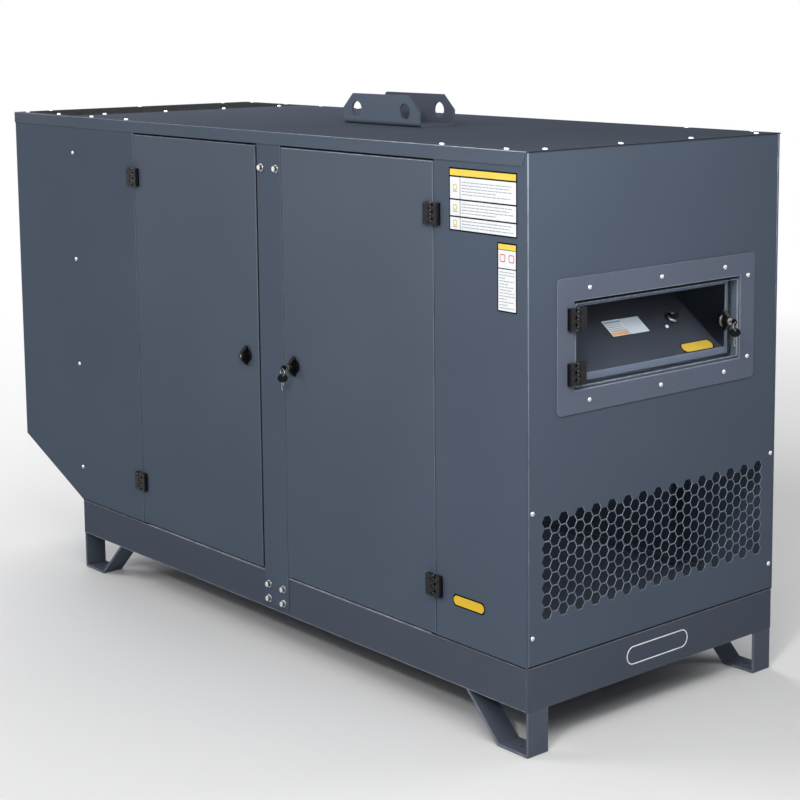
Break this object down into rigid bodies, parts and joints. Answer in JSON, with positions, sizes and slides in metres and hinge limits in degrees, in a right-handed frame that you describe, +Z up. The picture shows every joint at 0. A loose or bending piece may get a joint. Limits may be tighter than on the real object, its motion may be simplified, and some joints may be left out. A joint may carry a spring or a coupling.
{
  "type": "enclosed gas generator set",
  "caption": "Box-shaped sheet-metal canopy genset on a folded base with feet: hinged side doors, a window over a control console, a hexagon intake grille, an outlet hood and a lifting bracket.",
  "frame": {"origin": "on the ground, at the centre of the four anchor holes in the feet", "axes": "+X to the end with the control window and intake grille, -Y to the long side with the two hinged doors, +Z up"},
  "size_m": [2.125, 0.856, 1.314],
  "materials": {
    "canopy_paint": "satin powder coat",
    "base_paint": "satin powder coat",
    "inner_paint": "satin powder coat",
    "black_plastic": "fine grained",
    "clear_pane": "clear polished",
    "key_metal": "nickel plated",
    "zinc": "bright zinc plated",
    "label_white": "printed film",
    "label_yellow": "printed film"
  },
  "bodies": {
    "root": {"base_front_rail": "base_paint", "base_back_rail": "base_paint", "base_right_rail": "base_paint", "base_left_rail": "base_paint", "base_floor": "base_paint", "base_crossmembers": "base_paint", "foot_front_right": "base_paint", "foot_front_left": "base_paint", "foot_back_right": "base_paint", "foot_back_left": "base_paint", "front_right_panel": "canopy_paint", "front_left_panel": "canopy_paint", "front_post": "canopy_paint", "front_door_frame": "inner_paint", "back_right_panel": "canopy_paint", "back_left_panel": "canopy_paint", "back_post": "canopy_paint", "back_door_frame": "inner_paint", "window_end_panel": "canopy_paint", "intake_grille": "canopy_paint", "hood_end_panel": "canopy_paint", "hood_sloped_floor": "canopy_paint", "roof_panel": "canopy_paint", "air_outlet_grille": "canopy_paint", "lifting_beam": "inner_paint", "lifting_bracket": "base_paint", "window_frame": "canopy_paint", "control_console": "inner_paint", "hinge_frame_leaves": "black_plastic", "back_right_door": "canopy_paint", "back_left_door": "canopy_paint", "back_hinges": "black_plastic", "back_knobs": "black_plastic"},
    "selector": {"selector_switch": "black_plastic"},
    "right_door": {"front_right_door": "canopy_paint", "front_right_hinge_leaves": "black_plastic"},
    "right_knob": {"front_right_knob": "black_plastic", "front_right_keys": "key_metal"},
    "left_door": {"front_left_door": "canopy_paint", "front_left_hinge_leaves": "black_plastic"},
    "left_knob": {"front_left_knob": "black_plastic"},
    "window": {"window_pane": "clear_pane", "window_hinge_leaves": "black_plastic"},
    "window_latch": {"window_knob": "black_plastic", "window_keys": "key_metal"}
  },
  "joints": [
    {"name": "right_door_hinge", "type": "hinge", "parent": "root", "child": "right_door", "pos_m": [0.6035, -0.397, 0.705], "axis": [0, 0, 1], "range_deg": [0, 105]},
    {"name": "left_door_hinge", "type": "hinge", "parent": "root", "child": "left_door", "pos_m": [-0.5655, -0.397, 0.705], "axis": [0, 0, -1], "range_deg": [0, 105]},
    {"name": "window_hinge", "type": "hinge", "parent": "root", "child": "window", "pos_m": [0.8925, -0.256, 0.8395], "axis": [0, 0, -1], "range_deg": [0, 105]},
    {"name": "right_knob_turn", "type": "hinge", "parent": "right_door", "child": "right_knob", "pos_m": [0.114, -0.39, 0.705], "axis": [0, -1, 0], "range_deg": [-90, 0]},
    {"name": "left_knob_turn", "type": "hinge", "parent": "left_door", "child": "left_knob", "pos_m": [-0.076, -0.39, 0.705], "axis": [0, -1, 0], "range_deg": [0, 90]},
    {"name": "window_knob_turn", "type": "hinge", "parent": "window", "child": "window_latch", "pos_m": [0.8855, 0.1975, 0.8395], "axis": [1, 0, 0], "range_deg": [0, 90]},
    {"name": "selector_turn", "type": "hinge", "parent": "root", "child": "selector", "pos_m": [0.76917, 0.1615, 0.83322], "axis": [0.5908, 0, 0.8068], "range_deg": [-45, 45]}
  ]
}
